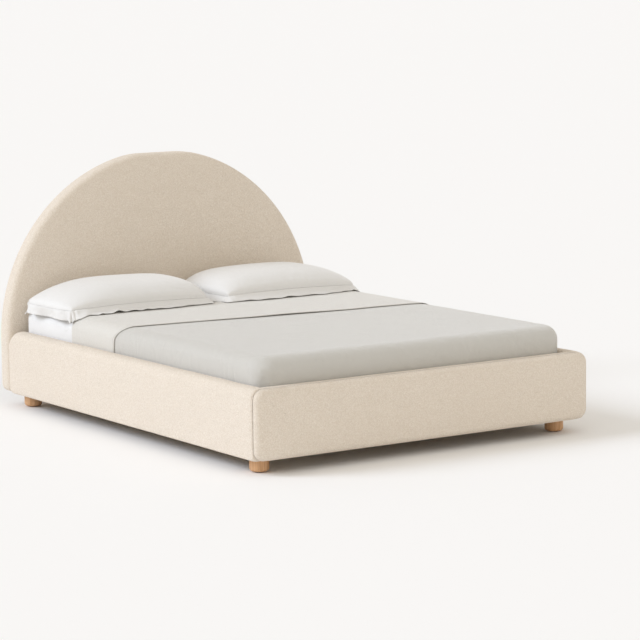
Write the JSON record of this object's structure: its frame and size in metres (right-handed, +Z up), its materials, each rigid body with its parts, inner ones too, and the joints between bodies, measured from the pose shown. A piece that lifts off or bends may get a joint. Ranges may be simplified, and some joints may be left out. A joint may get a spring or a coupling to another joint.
{
  "type": "upholstered bed",
  "caption": "Upholstered bed with a half-round padded headboard, round timber legs, slat base, mattress, folded coverlet and pillows.",
  "frame": {"origin": "on the floor, under the middle of the whole bed's box", "axes": "+Z up, +Y from the foot to the headboard, +X to the right side seen from the foot"},
  "size_m": [1.66, 2.21, 1.119],
  "materials": {
    "boucle_cover": "matte",
    "back_cloth": "matte",
    "upholstery_foam": "matte",
    "plywood": "matte",
    "pine": "matte",
    "oak": "satin",
    "zinc_steel": "satin",
    "felt": "matte",
    "webbing": "matte",
    "mattress_ticking": "matte",
    "sheet_cotton": "matte",
    "coverlet_linen": "matte",
    "pillow_filling": "matte",
    "pillowcase_cotton": "matte"
  },
  "bodies": {
    "bed_frame": {"beam_hanger_foot": "zinc_steel", "beam_hanger_head": "zinc_steel", "centre_beam": "pine", "centre_leg_foot": "pine", "centre_leg_head": "pine", "centre_leg_middle": "pine", "corner_block_foot_left": "pine", "corner_block_foot_right": "pine", "corner_block_head_left": "pine", "corner_block_head_right": "pine", "corner_bolts": "zinc_steel", "corner_washers": "zinc_steel", "foot_rail_board": "plywood", "foot_rail_cover": "boucle_cover", "foot_rail_foam": "upholstery_foam", "hanger_screws": "zinc_steel", "head_cross_rail": "pine", "headboard_arch": "plywood", "headboard_back_cloth": "back_cloth", "headboard_bottom_rail": "pine", "headboard_cover": "boucle_cover", "headboard_face_panel": "plywood", "headboard_foam": "upholstery_foam", "headboard_middle_rail": "pine", "headboard_post_left": "pine", "headboard_post_right": "pine", "headboard_stile": "pine", "ledge_screws": "zinc_steel", "leg_bolts": "zinc_steel", "leg_glides": "felt", "lock_nuts": "zinc_steel", "oak_leg_foot_left": "oak", "oak_leg_foot_right": "oak", "oak_leg_head_left": "oak", "oak_leg_head_right": "oak", "side_rail_left_board": "plywood", "side_rail_left_cover": "boucle_cover", "side_rail_left_foam": "upholstery_foam", "side_rail_right_board": "plywood", "side_rail_right_cover": "boucle_cover", "side_rail_right_foam": "upholstery_foam", "slat_ledge_left": "pine", "slat_ledge_right": "pine", "slat_straps_foot": "webbing", "slat_straps_head": "webbing", "slats_foot_roll": "pine", "slats_head_roll": "pine"},
    "mattress": {"mattress": "mattress_ticking", "fitted_sheet": "sheet_cotton", "coverlet": "coverlet_linen"},
    "left_pillow": {"pillow_left": "pillow_filling", "pillowcase_left": "pillowcase_cotton"},
    "right_pillow": {"pillow_right": "pillow_filling", "pillowcase_right": "pillowcase_cotton"},
    "levelling_foot_foot": {"levelling_foot_foot": "zinc_steel"},
    "levelling_foot_middle": {"levelling_foot_middle": "zinc_steel"},
    "levelling_foot_head": {"levelling_foot_head": "zinc_steel"}
  },
  "joints": [
    {"name": "mattress_lift", "type": "slide", "parent": "bed_frame", "child": "mattress", "axis": [0, 0, 1], "range_m": [0, 0.45]},
    {"name": "left_pillow_lift", "type": "slide", "parent": "mattress", "child": "left_pillow", "axis": [0, 0, 1], "range_m": [0, 0.3]},
    {"name": "right_pillow_lift", "type": "slide", "parent": "mattress", "child": "right_pillow", "axis": [0, 0, 1], "range_m": [0, 0.3]},
    {"name": "levelling_foot_foot_screw", "type": "slide", "parent": "bed_frame", "child": "levelling_foot_foot", "axis": [0, 0, -1], "range_m": [0, 0.012]},
    {"name": "levelling_foot_middle_screw", "type": "slide", "parent": "bed_frame", "child": "levelling_foot_middle", "axis": [0, 0, -1], "range_m": [0, 0.012]},
    {"name": "levelling_foot_head_screw", "type": "slide", "parent": "bed_frame", "child": "levelling_foot_head", "axis": [0, 0, -1], "range_m": [0, 0.012]}
  ]
}
